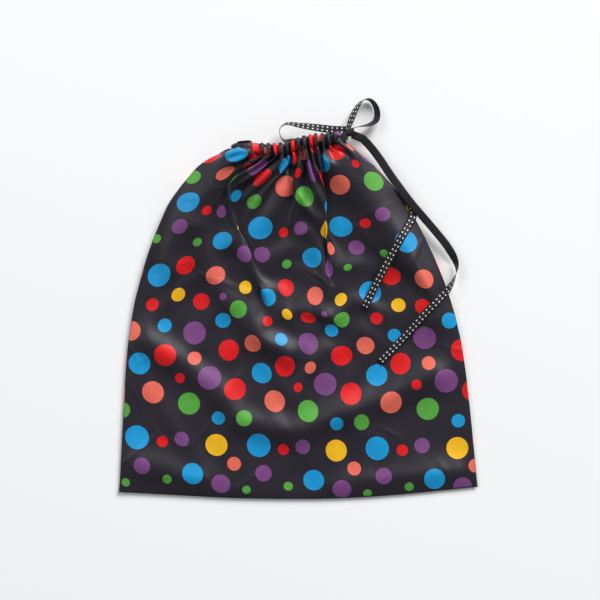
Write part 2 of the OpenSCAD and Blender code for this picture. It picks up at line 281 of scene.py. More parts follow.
gathered = flat.copy()
hold = np.zeros(len(flat))
for column, control in ((0, LEFT_CURVE), (COLUMNS, RIGHT_CURVE)):
    ids = numbers[1][:, column]
    rise = np.linspace(0, 1, ROWS + 1)
    gathered[ids] = np.c_[seam_line(control, ROWS + 1), (SEAM_HEIGHT + SEAM_RISE * rise ** 3) * MM]
    hold[ids] = SIDE_HOLD
hem = numbers[1][0]
across = 2 * cloth_u / CUT_WIDTH
gathered[hem] = np.c_[cloth_u, HEM_ENDS - HEM_SAG * (1 - across ** 2), np.full(COLUMNS + 1, HEM_HEIGHT)]
hold[hem] = HEM_HOLD
for side in (1, -1):
    ids = numbers[side][ROWS]
    gathered[ids] = on_gathers(np.c_[edge_x[side], foot_height(edge_x[side]), edge_z[side]])
    hold[ids] = 1
print("held points", int((hold > 0).sum()), "of", len(hold))

# %% [markdown]
# ## Long pleats down the front
# Below the neck the real cloth was smoothed flat by hand, so three of its pleats run on as long folds: one
# slants over the left half, one stands in the middle and one to the right of it. A flat pleat is a Z: the
# cloth goes forward to the fold's edge, back underneath, and forward again. Each pleat is described by the
# line of its edge over the bag, the cloth that it hides at each distance below the neck, and the side that
# lies on top. The front is drawn very softly towards this shape, and the simulation does the rest.

# %% Long pleats
LONG_PLEATS = [
    dict(below=(0, 10, 30, 45, 60, 85, 106, 125, 150, 175),
         edge=(-30, -33, -45, -50, -43, -28, -18, -12, -8, -5),
         hides=(60, 58, 54, 49, 43, 34, 27, 20, 9, 0), on_top=1),
    dict(below=(0, 15, 30, 45, 60), edge=(-7, -6.5, -6, -5.8, -5.8), hides=(46, 38, 22, 8, 0), on_top=-1),
    dict(below=(0, 20, 40, 60, 85, 108, 140, 170), edge=(24, 27, 29, 29, 29, 29, 28, 28),
         hides=(55, 51, 45, 36, 26, 18, 10, 0), on_top=1),
]
PLEAT_HOLD = 0.08
FIRM_HOLD = 0.35
FOLD_EDGE = 5 * MM
LAYER_LIFT = 1.6 * MM
CROWN = (5, 12)
LAID_FROM, LAID_SOFT = 14 * MM, 26 * MM
LAID_TO, LAID_FADE = 180 * MM, 100 * MM
LEAST_HOLD = 0.001
laid_columns = slice(3, -3)
TUCK_BELOW = (0, 132 * MM, 146 * MM, CUT_HEIGHT)
TUCK_Y = (0.126, 0, -0.001, -0.140)
stitch_middle = from_neck([0, CASING_FOOT, 0])[:2]


def pleated_row(row):
    """Places of one row of the front, with the long pleats laid into it."""
    below = CUT_HEIGHT - cloth_v[row]
    left, right = gathered[numbers[1][row, 0], :2], gathered[numbers[1][row, COLUMNS], :2]
    middle_x = stitch_middle[0] * (1 - below / CUT_HEIGHT)
    middle = np.array([middle_x, np.interp(below, TUCK_BELOW, TUCK_Y)])
    k = np.linspace(0, 1, 400)[:, None]
    line = (1 - k) ** 2 * left + 2 * k * (1 - k) * (2 * middle - (left + right) / 2) + k * k * right
    along = np.r_[0, np.cumsum(np.hypot(*np.diff(line, axis=0).T))]
    pleats = []
    for pleat in LONG_PLEATS:
        hidden = np.interp(below, np.array(pleat["below"]) * MM, pleat["hides"]) * MM
        if below < pleat["below"][-1] * MM:
            edge = np.interp(below, np.array(pleat["below"]) * MM, pleat["edge"]) * MM
            pleats.append((np.interp(edge, line[:, 0], along), hidden, pleat["on_top"]))
    stretch = (CUT_WIDTH - sum(p[1] for p in pleats)) / along[-1]
    cloth, seen, lift = [0.0], [0.0], [0.0]
    at = cloth_u + CUT_WIDTH / 2
    firm = np.zeros(COLUMNS + 1)
    for edge, hidden, on_top in pleats:
        start = cloth[-1] + (edge - seen[-1]) * stretch
        reach = hidden / 2
        cloth += [start, start + reach, start + hidden]
        seen += [edge, edge - on_top * reach, edge]
        lift += [on_top, 0, -on_top]
        firm[(at > start - FOLD_EDGE) & (at < start + hidden + FOLD_EDGE)] = 1
    cloth.append(CUT_WIDTH)
    seen.append(along[-1])
    lift.append(0.0)
    here = np.interp(at, cloth, seen)
    rise = np.interp(at, cloth, lift) * LAYER_LIFT
    share = cloth_v[row] / CUT_HEIGHT
    z = (CROWN[0] + CROWN[1] * share ** 3) * MM + rise
    return np.c_[np.interp(here, along, line[:, 0]), np.interp(here, along, line[:, 1]), z], firm


for row in range(ROWS // 3, ROWS):
    below = CUT_HEIGHT - cloth_v[row]
    fade = ramp(below, LAID_FROM, LAID_SOFT) * ramp(below, LAID_TO, -LAID_FADE)
    inner = numbers[1][row, laid_columns]
    if fade > 0:
        laid, firm = pleated_row(row)
        gathered[inner] = laid[laid_columns]
        hold[inner] = np.maximum((PLEAT_HOLD + FIRM_HOLD * firm[laid_columns]) * fade, LEAST_HOLD)
print("held points with the long pleats", int((hold > 0).sum()))

# %% [markdown]
# ## Gathering the cloth
# Nobody models the folds of a gathered bag by hand, because each fold follows from the others. Cloth
# simulation does what the drawstring does: it starts with the flat panels, draws the top edge together
# over some frames, and lets the rest fall on the table. The simulation runs at ten times the size,
# because the solver's smallest distances are too coarse for thin cotton. Its result is read back and
# scaled down, and the simulated object is thrown away.

# %% Cloth simulation
SCALE_UP = 10
GATHER_FRAMES = 45
LAST_FRAME = 70


def plate(name, reach):
    """A square table top round the origin."""
    mesh = bpy.data.meshes.new(name)
    corners = [(-reach, -reach, 0), (reach, -reach, 0), (reach, reach, 0), (-reach, reach, 0)]
    mesh.from_pydata(corners, [], [(0, 1, 2, 3)])
    return add_object(name, mesh)


def settle_cloth():
    """Places of all cloth points after the drawstring is drawn."""
    mesh = bpy.data.meshes.new("cloth_study")
    mesh.from_pydata((flat * SCALE_UP).tolist(), [], patches)
    study = add_object("cloth_study", mesh)
    study.shape_key_add(name="flat")
    drawn = study.shape_key_add(name="gathered")
    drawn.data.foreach_set("co", (gathered * SCALE_UP).ravel())
    for value, at in ((0, 1), (1, GATHER_FRAMES)):
        drawn.value = value
        drawn.keyframe_insert("value", frame=at)
    group = study.vertex_groups.new(name="hold")
    for number in np.flatnonzero(hold):
        group.add([int(number)], float(hold[number]), "REPLACE")
    cloth = study.modifiers.new("cotton", "CLOTH")
    settings = cloth.settings
    settings.vertex_group_mass = "hold"
    settings.quality = 5
    settings.mass = 0.15
    settings.tension_stiffness = settings.compression_stiffness = 40
    settings.shear_stiffness = 8
    settings.bending_stiffness = 1
    settings.tension_damping = settings.compression_damping = 10
    settings.shear_damping = 5
    settings.bending_damping = 0.5
    settings.air_damping = 3
    touch = cloth.collision_settings
    touch.distance_min = 0.006
    touch.collision_quality = 2
    touch.friction = 10
    touch.use_self_collision = True
    touch.self_distance_min = 0.008
    touch.self_friction = 5
    cloth.point_cache.frame_start = 1
    cloth.point_cache.frame_end = LAST_FRAME
    table_top = plate("study_table", 0.5 * SCALE_UP)
    table_top.modifiers.new("touch", "COLLISION")
    table_top.collision.thickness_outer = 0.005
    table_top.collision.cloth_friction = 20
    scene.frame_start, scene.frame_end = 1, LAST_FRAME
    for number in range(1, LAST_FRAME + 1):
        scene.frame_set(number)
    settled = study.evaluated_get(bpy.context.evaluated_depsgraph_get()).to_mesh()
    found = np.zeros(len(flat) * 3)
    settled.vertices.foreach_get("co", found)
    for thing in (study, table_top):
        bpy.data.objects.remove(thing)
    scene.frame_set(1)
    return found.reshape(-1, 3) / SCALE_UP


settled = settle_cloth()
print("settled cloth, highest point in mm", round(settled[:, 2].max() / MM, 1))

# %% [markdown]
# ## Swells in the lying front
# A used bag never lies quite flat. The light in the photograph shows where its front still stands up: a
# long curved swell across the lower half, one along the slanting pleat, one on each shoulder and low ones
# near the hem. Each swell is a line over the bag, a height and a breadth, and is added to the settled
# front as a soft ridge. Before that the front is smoothed, because cotton is too stiff to keep the
# smallest waves of the grid. The shoulders are smoothed longest, so that they slope to the seams.

# %% Swells
SWELLS = [
    dict(line=[(-122, -15), (-91, -35), (-64, -55), (-45, -80), (-18, -87), (5, -86), (28, -77), (70, -61),
               (105, -45)], height=5, breadth=7.5),
    dict(line=[(-76, 66), (-72, 44), (-53, 12), (-32, -18), (-8, -28)], height=4.5, breadth=7),
    dict(line=[(28, 111), (52, 89), (76, 62), (95, 30), (104, 0)], height=5, breadth=9),
    dict(line=[(-50, 112), (-70, 95), (-88, 71), (-100, 44)], height=4.5, breadth=9),
    dict(line=[(-125, -112), (-104, -118), (-78, -127)], height=4, breadth=8),
    dict(line=[(30, -133), (60, -128), (92, -124), (121, -121)], height=3.5, breadth=8),
]
SMOOTHING = 9
SMOOTH_FROM, SMOOTH_SOFT = 35 * MM, 50 * MM
SHOULDER_SMOOTHING = 60
SHOULDER_TOP, SHOULDER_SOFT = 12 * MM, 25 * MM
SHOULDER_END, SHOULDER_FADE = 120 * MM, 40 * MM
SHOULDER_COLUMNS, SHOULDER_RIM = 24, 10
SWELL_FREE = 5


def distance_to(line, x, y):
    """Distance of each place to a line of points."""
    nearest = np.full(x.shape, 1.0)
    for (ax, ay), (bx, by) in zip(line[:-1], line[1:]):
        along = ((x - ax) * (bx - ax) + (y - ay) * (by - ay)) / ((bx - ax) ** 2 + (by - ay) ** 2)
        along = np.clip(along, 0, 1)
        nearest = np.minimum(nearest, np.hypot(x - ax - along * (bx - ax), y - ay - along * (by - ay)))
    return nearest


front = settled[numbers[1]]
from_top = (CUT_HEIGHT - cloth_v)[:, None]
below_neck = ramp(from_top, SMOOTH_FROM, SMOOTH_SOFT)
shoulders = ramp(from_top, SHOULDER_TOP, SHOULDER_SOFT) * ramp(from_seam, SHOULDER_COLUMNS, -SHOULDER_RIM)
shoulders *= ramp(from_top, SHOULDER_END, -SHOULDER_FADE)
for step in range(SHOULDER_SMOOTHING):
    evened = np.maximum(below_neck, shoulders) if step < SMOOTHING else shoulders
    around = (front[:-2, 1:-1] + front[2:, 1:-1] + front[1:-1, :-2] + front[1:-1, 2:]) / 4
    front[1:-1, 1:-1] += 0.5 * evened[1:-1, 1:-1, None] * (around - front[1:-1, 1:-1])
loose = ramp(from_seam, 0, SWELL_FREE) * ramp(np.arange(ROWS + 1), 0, SEAM_STEPS)[:, None]
for swell in SWELLS:
    gap = distance_to(np.array(swell["line"]) * MM, front[..., 0], front[..., 1])
    ridge = np.exp(-(gap / (swell["breadth"] * MM)) ** 2 / 2)
    front[..., 2] += swell["height"] * MM * ridge * loose
settled[numbers[1]] = front
print("front, highest point of the lower half in mm", round(front[:ROWS // 2, :, 2].max() / MM, 1))

# %% [markdown]
# ## Shader helpers
# Materials are node trees. Small helpers keep the cells short: one makes a node and connects or fills its
# inputs, others make the nodes that come back often, and one opens a node group with named sockets.

# %% Shader helpers


def node(tree, kind, inputs=(), **settings):
    """A new node. Each input is a socket to connect or a value to set."""
    made = tree.nodes.new(kind)
    for name, value in settings.items():
        setattr(made, name, value)
    for key, value in dict(inputs).items():
        if isinstance(value, bpy.types.NodeSocket):
            tree.links.new(value, made.inputs[key])
        else:
            made.inputs[key].default_value = value
    return made


def calc(tree, operation, *values):
    return node(tree, "ShaderNodeMath", dict(enumerate(values)), operation=operation).outputs[0]


def vector_calc(tree, operation, *values):
    return node(tree, "ShaderNodeVectorMath", dict(enumerate(values)), operation=operation).outputs


def blend_colour(tree, factor, under, over, kind="MIX"):
    inputs = {0: factor, 6: under, 7: over}
    return node(tree, "ShaderNodeMix", inputs, data_type="RGBA", blend_type=kind).outputs[2]


def shaded(tree, colour, shade):
    return blend_colour(tree, 1.0, colour, shade, "MULTIPLY")


def soft_step(tree, value, low, high, start=0.0, end=1.0):
    """Goes softly from start to end while the value goes from low to high."""
    inputs = {"Value": value, "From Min": low, "From Max": high, "To Min": start, "To Max": end}
    return node(tree, "ShaderNodeMapRange", inputs, interpolation_type="SMOOTHSTEP").outputs[0]


def bump(tree, height, strength, distance, **more):
    inputs = {"Height": height, "Strength": strength, "Distance": distance, **more}
    return node(tree, "ShaderNodeBump", inputs).outputs[0]


def shader_group(name, inputs, outputs):
    tree = bpy.data.node_groups.new(name, "ShaderNodeTree")
    for direction, sockets in (("INPUT", inputs), ("OUTPUT", outputs)):
        for label, kind in sockets:
            tree.interface.new_socket(label, in_out=direction, socket_type="NodeSocket" + kind)
    return tree, tree.nodes.new("NodeGroupInput").outputs, tree.nodes.new("NodeGroupOutput").inputs


def place_group(tree, group, **inputs):
    return node(tree, "ShaderNodeGroup", inputs, node_tree=group).outputs


def linear(red, green, blue):
    """A colour as it is seen, 0 to 255, turned into the light that a shader works with."""
    parts = [c / 255 for c in (red, green, blue)]
    return (*(p / 12.92 if p < 0.04045 else ((p + 0.055) / 1.055) ** 2.4 for p in parts), 1)


def open_material(name, map_name=None):
    """A new material, its nodes, its shader's inputs, and the place on a UV map or else in the object."""
    material = bpy.data.materials.new(name)
    material.use_nodes = True
    tree = material.node_tree
    if map_name:
        place = node(tree, "ShaderNodeUVMap", uv_map=map_name).outputs[0]
    else:
        place = node(tree, "ShaderNodeTexCoord").outputs["Object"]
    return material, tree, tree.nodes["Principled BSDF"].inputs, place


print("helpers ready")

# %% [markdown]
# ## The dot print
# Printed cloth repeats. On this one a cell of 92 by 180 mm comes back over and over, with dots of six
# inks in many sizes. A picture of the print would be blurred close up, so every dot is a small piece of
# arithmetic: the distance to its centre, wrapped round at the edge of the cell, and a soft step at its
# radius. One node group draws a dot over the colour below it, and a chain of them draws the cell.

# %% Dot print
CELL = (92.4 * MM, 180 * MM)
INKS = {
    "red": linear(230, 4, 14), "blue": linear(4, 154, 216), "green": linear(86, 168, 60),
    "purple": linear(124, 68, 130), "coral": linear(238, 108, 88), "yellow": linear(248, 188, 12),
}
BLACK_CLOTH = linear(33, 28, 38)
FIRST_DOT = (-30.7 * MM, 38 * MM)
DOTS = [
    ("blue", 17.8, 0, 0), ("red", 8.5, 19, -2), ("purple", 11.5, 34, 1), ("yellow", 16.5, 60.5, -1.5),
    ("coral", 10.5, 74, -15), ("purple", 12.5, 4, -21), ("blue", 16, 42.5, -24.5), ("green", 7, 23, -30),
    ("purple", 14.5, 64, -31), ("green", 6.5, 83.5, -34.5), ("coral", 16.5, 11.5, 34.5),
    ("green", 16.5, 39, 28.5), ("blue", 10, 61.5, 19), ("green", 12, 81, 20), ("red", 16.5, 73, 41.5),
    ("purple", 17.5, 53, 49), ("red", 7.5, 31, 47), ("blue", 16, 0.5, 55), ("red", 16, 19, 63),
    ("coral", 10, 40.5, 62.5), ("red", 16, 65.5, 71), ("purple", 17, 38.5, 81.5), ("coral", 14, 84.5, 78),
    ("blue", 10, 16, 84.5), ("blue", 11.5, 58.5, 93), ("red", 9.5, 4, 99), ("green", 14, 69, 103),
    ("red", 12, 40, 105), ("yellow", 10.5, 22, 108), ("blue", 17, 3, 121), ("purple", 5.5, 55, 111),
    ("yellow", 10.5, 71, 121), ("coral", 14.5, 46, 126), ("red", 14.5, 21, 131),
]
SOFT_EDGE = 0.18 * MM

dot_group, given, result = shader_group(
    "one_dot", [("Cloth", "Vector"), ("Centre", "Vector"), ("Radius", "Float"), ("Under", "Color"),
                ("Ink", "Color")], [("Color", "Color")])
offset = vector_calc(dot_group, "SUBTRACT", given["Cloth"], given["Centre"])[0]
half_cell = (CELL[0] / 2, CELL[1] / 2, 1)
wrapped = vector_calc(dot_group, "WRAP", offset, half_cell, tuple(-c for c in half_cell))[0]
distance = vector_calc(dot_group, "LENGTH", wrapped)["Value"]
past_rim = calc(dot_group, "SUBTRACT", distance, given["Radius"])
inside = soft_step(dot_group, past_rim, -SOFT_EDGE, SOFT_EDGE, 1.0, 0.0)
dot_group.links.new(blend_colour(dot_group, inside, given["Under"], given["Ink"]), result["Color"])

print_group, given, result = shader_group("dot_print", [("Cloth", "Vector"), ("Ground", "Color")],
                                          [("Color", "Color")])
colour = given["Ground"]
for ink, diameter, right, up in DOTS:
    centre = (FIRST_DOT[0] + right * MM, FIRST_DOT[1] + up * MM, 0)
    colour = place_group(print_group, dot_group, Cloth=given["Cloth"], Centre=centre,
                         Radius=diameter / 2 * MM, Under=colour, Ink=INKS[ink])["Color"]
print_group.links.new(colour, result["Color"])
print("dots in a cell", len(DOTS))

# %% [markdown]
# ## Weave, ribs, fibre and creases
# Four effects are node groups, so that materials can share them. The weave is two sets of threads that
# pass over and under each other. The ribs are the cross ridges of a grosgrain ribbon. Both give a height
# for bumps and a Shade that is painted shade: it darkens the colour in the gaps between the threads and
# the valleys between the ribs, and lightens it a little on their crests. The fibre is soft noise that
# keeps every dyed surface from being perfectly even. The creases are what folding leaves in cotton: low
# waves of noise, and straight thin lines between cells, which show only in patches.

# %% Shared effects
weave_group, given, result = shader_group(
    "plain_weave", [("Cloth", "Vector"), ("Pitch", "Float")], [("Height", "Float"), ("Shade", "Float")])
axes = node(weave_group, "ShaderNodeSeparateXYZ", {0: given["Cloth"]}).outputs
threads = [calc(weave_group, "DIVIDE", axes[k], given["Pitch"]) for k in (0, 1)]
turns = [calc(weave_group, "MULTIPLY", t, math.pi) for t in threads]
ridges = [calc(weave_group, "ABSOLUTE", calc(weave_group, "SINE", t)) for t in turns]
cells = [calc(weave_group, "FLOOR", t) for t in threads]
over = calc(weave_group, "FLOORED_MODULO", calc(weave_group, "ADD", *cells), 2.0)
height = node(weave_group, "ShaderNodeMix", {0: over, 2: ridges[0], 3: ridges[1]}).outputs[0]
weave_group.links.new(height, result["Height"])
# Shade is painted shade: darker where the threads dip into the gaps, a little lighter on their crests.
weave_group.links.new(calc(weave_group, "MULTIPLY_ADD", height, 0.22, 0.84), result["Shade"])

rib_group, given, result = shader_group(
    "grosgrain_ribs", [("Ribbon", "Vector"), ("Pitch", "Float")], [("Height", "Float"), ("Shade", "Float")])
axes = node(rib_group, "ShaderNodeSeparateXYZ", {0: given["Ribbon"]}).outputs
turn = calc(rib_group, "MULTIPLY", calc(rib_group, "DIVIDE", axes[0], given["Pitch"]), math.pi)
ridge = calc(rib_group, "ABSOLUTE", calc(rib_group, "SINE", turn))
rib_group.links.new(ridge, result["Height"])
# Shade is painted shade: darker in the valleys between the ribs, lighter on their crests.
rib_group.links.new(calc(rib_group, "MULTIPLY_ADD", ridge, 0.5, 0.6), result["Shade"])

fibre_group, given, result = shader_group(
    "dyed_fibre", [("Place", "Vector"), ("Scale", "Float"), ("Amount", "Float")], [("Tone", "Float")])
cloud = node(fibre_group, "ShaderNodeTexNoise", {
    "Vector": given["Place"], "Scale": given["Scale"], "Detail": 5.0, "Roughness": 0.62}).outputs["Fac"]
spread = calc(fibre_group, "MULTIPLY", calc(fibre_group, "SUBTRACT", cloud, 0.5), given["Amount"])
fibre_group.links.new(calc(fibre_group, "ADD", spread, 1.0), result["Tone"])

crease_group, given, result = shader_group("cloth_creases", [("Cloth", "Vector"), ("Scale", "Float")],
                                           [("Height", "Float")])
cloud = node(crease_group, "ShaderNodeTexNoise", {
    "Vector": given["Cloth"], "Scale": given["Scale"], "Detail": 1.0, "Distortion": 0.2}).outputs["Fac"]
to_line = node(crease_group, "ShaderNodeTexVoronoi", {"Vector": given["Cloth"], "Scale": given["Scale"]},
               feature="DISTANCE_TO_EDGE").outputs["Distance"]
line = soft_step(crease_group, to_line, 0.0, 0.05, 1.0, 0.0)
patchy = soft_step(crease_group, cloud, 0.48, 0.62)
lines = calc(crease_group, "MULTIPLY", line, patchy)
crease_group.links.new(calc(crease_group, "MULTIPLY_ADD", lines, 0.06, cloud), result["Height"])
print("effects", weave_group.name, rib_group.name, fibre_group.name, crease_group.name)

# %% [markdown]
# ## Printed cotton
# The face of the cloth is black with the dots on it. The back of the cloth lets the print through only
# faintly. Cotton scatters light at grazing angles, which the sheen gives, and that is what draws the
# folds on a black cloth.

# %% Cotton materials
CLOTH_MAP = "cut_cloth"
WEAVE_PITCH = 0.42 * MM
FADED = linear(62, 60, 66)


def cotton(name, fade):
    """Printed cotton, faded by this share for the reverse of the cloth."""
    material, tree, bsdf, place = open_material(name, CLOTH_MAP)
    printed = place_group(tree, print_group, Cloth=place, Ground=BLACK_CLOTH)["Color"]
    if fade:
        printed = blend_colour(tree, fade, printed, FADED)
    weave = place_group(tree, weave_group, Cloth=place, Pitch=WEAVE_PITCH)
    tone = place_group(tree, fibre_group, Place=place, Scale=260.0, Amount=0.35)["Tone"]
    # The weave's painted shade in its gaps, times the fibre's random tone, darkens the printed colour.
    shade = calc(tree, "MULTIPLY", weave["Shade"], tone)
    tree.links.new(shaded(tree, printed, shade), bsdf["Base Color"])
    slubs = place_group(tree, fibre_group, Place=place, Scale=90.0, Amount=0.4)["Tone"]
    tree.links.new(calc(tree, "MULTIPLY", slubs, 0.47), bsdf["Roughness"])
    creases = place_group(tree, crease_group, Cloth=place, Scale=16.0)["Height"]
    waves = bump(tree, creases, 1.0, 5 * MM)
    tree.links.new(bump(tree, weave["Height"], 0.25, 0.06 * MM, Normal=waves), bsdf["Normal"])
    bsdf["Sheen Weight"].default_value = 0.15
    bsdf["Sheen Roughness"].default_value = 0.4
    bsdf["Sheen Tint"].default_value = (0.8, 0.88, 1, 1)
    bsdf["Specular IOR Level"].default_value = 0.48
    return material


cotton_face = cotton("dotted_cotton", 0)
cotton_back = cotton("dotted_cotton_reverse", 0.55)
print("cotton", cotton_face.name, cotton_back.name)

# %% [markdown]
# ## From points to cloth
# A settled grid becomes a piece in three steps: a plain mesh with the flat cloth as its UV map, one
# level of subdivision for round folds, and Solidify for the thickness of the cotton. The reverse of the
# cloth takes the second material. The modifiers are made part of the mesh, so that what is seen is what
# is stored. On the front the print leans and spreads a little towards the neck, as the dots in the
# photograph do.

# %% Cloth pieces
COTTON_THICKNESS = 0.3 * MM


def freeze(piece):
    """Makes the live modifiers part of the mesh."""
    bpy.context.view_layer.update()
    done = bpy.data.meshes.new_from_object(piece.evaluated_get(bpy.context.evaluated_depsgraph_get()))
    piece.modifiers.clear()
    piece.data = done
    done.name = piece.name
    return piece


def mesh_piece(name, places, faces, map_name, map_places, materials):
    """A smooth mesh of points and faces, with a UV map."""
    mesh = bpy.data.meshes.new(name)
    mesh.from_pydata(places.reshape(-1, 3).tolist(), [], faces.tolist())
    corners = map_places.reshape(-1, 2)[faces.ravel()]
    mesh.uv_layers.new(name=map_name).data.foreach_set("uv", corners.ravel())
    mesh.polygons.foreach_set("use_smooth", np.ones(len(faces), bool))
    for material in materials:
        mesh.materials.append(material)
    return add_object(name, mesh)


def grid_piece(name, places, pattern, materials, flip=False, level=1, thickness=COTTON_THICKNESS):
    """A sheet from a grid of places, rows by columns, and the flat pattern at the same points."""
    rows, columns = places.shape[:2]
    ids = np.arange(rows * columns).reshape(rows, columns)
    quads = np.stack([ids[:-1, :-1], ids[:-1, 1:], ids[1:, 1:], ids[1:, :-1]], -1).reshape(-1, 4)
    quads = quads[:, ::-1] if flip else quads
    piece = mesh_piece(name, places, quads, CLOTH_MAP, pattern, materials)
    if level:
        rounding = piece.modifiers.new("rounding", "SUBSURF")
        rounding.levels = rounding.render_levels = level
    wall = piece.modifiers.new("wall", "SOLIDIFY")
    wall.thickness = thickness
    wall.offset = -1
    wall.material_offset = len(materials) - 1
    return freeze(piece)


PRINT_LEAN = 18 * MM
PRINT_SPREAD = 13 * MM
PRINT_START = 2.5 * MM
PRINT_CLIMB = 10 * MM
PRINT_TURN = 5.5 * MM
PRINT_BOW = 3.5 * MM
CLIMB_END = 0.7
BACK_SHIFT = 31 * MM
BOTH_FACES = [cotton_face, cotton_back]


def printed_at(u, v):
    """Where in the print each place of the flat cloth lies: it leans and spreads towards the neck."""
    across, up = 2 * u / CUT_WIDTH, v / CUT_HEIGHT
    right = -PRINT_LEAN * up ** 2 - PRINT_SPREAD * across * up * (2 - up)
    climb = PRINT_CLIMB * np.minimum(1, up / CLIMB_END) ** 2
    rise = PRINT_TURN * across + PRINT_BOW * across ** 2 - PRINT_START - climb
    return np.stack([u + right, v + rise], -1)


pattern = printed_at(*np.meshgrid(cloth_u, cloth_v))
front_cloth = grid_piece("front_cloth", settled[numbers[1]], pattern, BOTH_FACES)
back_pattern = np.stack(np.meshgrid(BACK_SHIFT - cloth_u, cloth_v), -1)
back_cloth = grid_piece("back_cloth", settled[numbers[-1]], back_pattern, BOTH_FACES, flip=True)
print("faces", len(front_cloth.data.polygons), len(back_cloth.data.polygons))

# %% [markdown]
# ## The casing
# Above the row of stitches the cloth is turned over into a tunnel for the ribbon. Its outer layer
# swells outwards, passes over the top edge and comes back down on the inside. Between the ribbon and
# the stitches the gathers change shape: at the stitches both layers fold together, and beside the ribbon
# each layer has to stay on its own side. The tunnel turns round the left end of the neck with the ribbon.

# %% Casing
TURN_X = -31.4 * MM
TURN_RADIUS = 6.7 * MM
OUTER_FOLD = {1: 4.4 * MM, -1: 3.3 * MM}
INNER_FOLD = 3.8 * MM
ROOM = 0.75 * MM
CASING_ROWS = 10
FINER = 5
WIDEST_ROWS = 0.6
TOP_CLOSES = 0.65
FOLD_ROUNDNESS = 0.6
UNEVEN_FOLDS = 0.3
TOP_WAVE, TOP_UNEVEN = 0.5, 0.9
OFF_TABLE = 0.5 * MM
wobble = np.random.default_rng(11)


def eased(values, finer):
    """The smooth line that subdivision makes of a row of points, at finer steps."""
    values = np.asarray(values, float)
    padded = np.concatenate([2 * values[:1] - values[1:2], values, 2 * values[-1:] - values[-2:-1]])
    made = []
    for k in range(len(values) - 1):
        for u in np.arange(finer) / finer:
            weights = np.array([(1 - u) ** 3, 3 * u ** 3 - 6 * u * u + 4,
                                -3 * u ** 3 + 3 * u * u + 3 * u + 1, u ** 3]) / 6
            made.append(weights @ padded[k:k + 4])
    return np.array(made + [values[-1]])


def fold_phase(pleats, along):
    """The angle that the folds have reached at each place on the cloth, one full turn for each pleat."""
    lengths = np.array([p[0] for p in pleats], float)
    ends = np.r_[0, np.cumsum(lengths)] * CUT_WIDTH / lengths.sum() - CUT_WIDTH / 2
    return np.interp(along, ends, 2 * math.pi * np.arange(len(ends)))


def casing(name, side):
    """One half of the tunnel: rows of points up its outer layer and down its inner layer."""
    x, z = eased(edge_x[side], FINER), eased(edge_z[side], FINER)
    along = eased(cloth_u, FINER)
    phase = fold_phase(PLEATS[side], along)
    wave, fine = -np.cos(phase), -np.cos(2 * phase)
    past = np.clip((TURN_X - x) / (TURN_X + NECK_WIDTH / 2), 0, 1) * math.pi / 2
    core = np.c_[np.where(past > 0, TURN_X, x) - TURN_RADIUS * np.sin(past),
                 MIDDLE_LEVEL + side * TURN_RADIUS * np.cos(past)]
    out = np.c_[-np.sin(past), side * np.cos(past)]
    foot, bottom = np.c_[x, z], foot_height(x)
    uneven = eased(np.convolve(wobble.normal(size=COLUMNS + 7), np.ones(7) / 7, "valid"), FINER)
    layers = []
    for step in range(2 * CASING_ROWS + 1):
        up = math.sin(math.pi * step / (2 * CASING_ROWS)) ** 0.8
        from_edge = min(step, 2 * CASING_ROWS - step)
        near_top = ramp(from_edge / CASING_ROWS, WIDEST_ROWS, 1 - WIDEST_ROWS)
        swell = min(1, from_edge) * (1 - TOP_CLOSES * ease(near_top))
        if step <= CASING_ROWS:
            rounded = ((1 + (wave if side > 0 else fine)) / 2) ** FOLD_ROUNDNESS
            away = ROOM + OUTER_FOLD[side] * (1 + UNEVEN_FOLDS * uneven) * rounded
        else:
            away = -(ROOM + INNER_FOLD * (1 - fine) / 2)
        away = away * (1 - up ** 8)
        spot = foot * (1 - swell) + swell * (core + out * away[:, None])
        height = bottom + (CASING_TOP - bottom) * up
        height = height + up ** 2 * (TOP_WAVE * wave + TOP_UNEVEN * uneven) * MM
        layers.append(np.c_[spot[:, 0], height, spot[:, 1]])
    places = on_gathers(np.array(layers))
    reach = np.linspace(0, 2 * (CASING_TOP - CASING_FOOT), len(layers))
    if side > 0:
        drawn = printed_at(along, np.full(len(along), CUT_HEIGHT))
        drawn = drawn + np.array([0, 1]) * reach[:, None, None]
    else:
        drawn = np.stack(np.meshgrid(BACK_SHIFT - along, CUT_HEIGHT + reach), -1)
    places[..., 2] = np.maximum(places[..., 2], OFF_TABLE)
    return grid_piece(name, places, drawn, BOTH_FACES, flip=side < 0, level=0)


front_casing = casing("front_casing_cloth", 1)
back_casing = casing("back_casing_cloth", -1)
print("casing faces", len(front_casing.data.polygons), len(back_casing.data.polygons))

# %% [markdown]
# ## Seam allowances
# Inside the bag, the cut edges stand 8 mm in from both side seams and the hem. They lie between the two
# panels, so each strip is made half way between the front and the back, over the outermost columns or
# rows of the cloth.

# %% Seam allowances
ALLOWANCE = 8 * MM
ALLOWANCE_THICKNESS = 0.2 * MM
SEAM_SHARE = 0.78


def inner_strip(name, rows, columns):
    """The part of a sheet half way between front and back that has these rows and columns."""
    between = (settled[numbers[1]] + settled[numbers[-1]]) / 2
    return grid_piece(name, between[rows, columns], pattern[rows, columns], [cotton_back], level=0,
                      thickness=ALLOWANCE_THICKNESS)


strip_columns = int(round(ALLOWANCE / (CUT_WIDTH / COLUMNS)))
strip_rows = int(round(ALLOWANCE / (CUT_HEIGHT / ROWS)))
right_start = COLUMNS - strip_columns
side_rows = slice(0, int(SEAM_SHARE * ROWS))
left_strip = inner_strip("left_seam_allowance", side_rows, slice(0, strip_columns + 1))
right_strip = inner_strip("right_seam_allowance", side_rows, slice(right_start, COLUMNS + 1))
hem_strip = inner_strip("hem_allowance", slice(0, strip_rows + 1), slice(strip_columns, right_start + 1))
print("strips", strip_columns, "columns and", strip_rows, "rows wide")

# %% [markdown]
# ## Casing stitches
# A row of stitches closes each casing. They repeat along a line, which is what Geometry Nodes are for:
# the line is resampled at the stitch pitch, a short thread is set on every point and turned along the
# line, and the instances are made real so that the mesh can be stored.

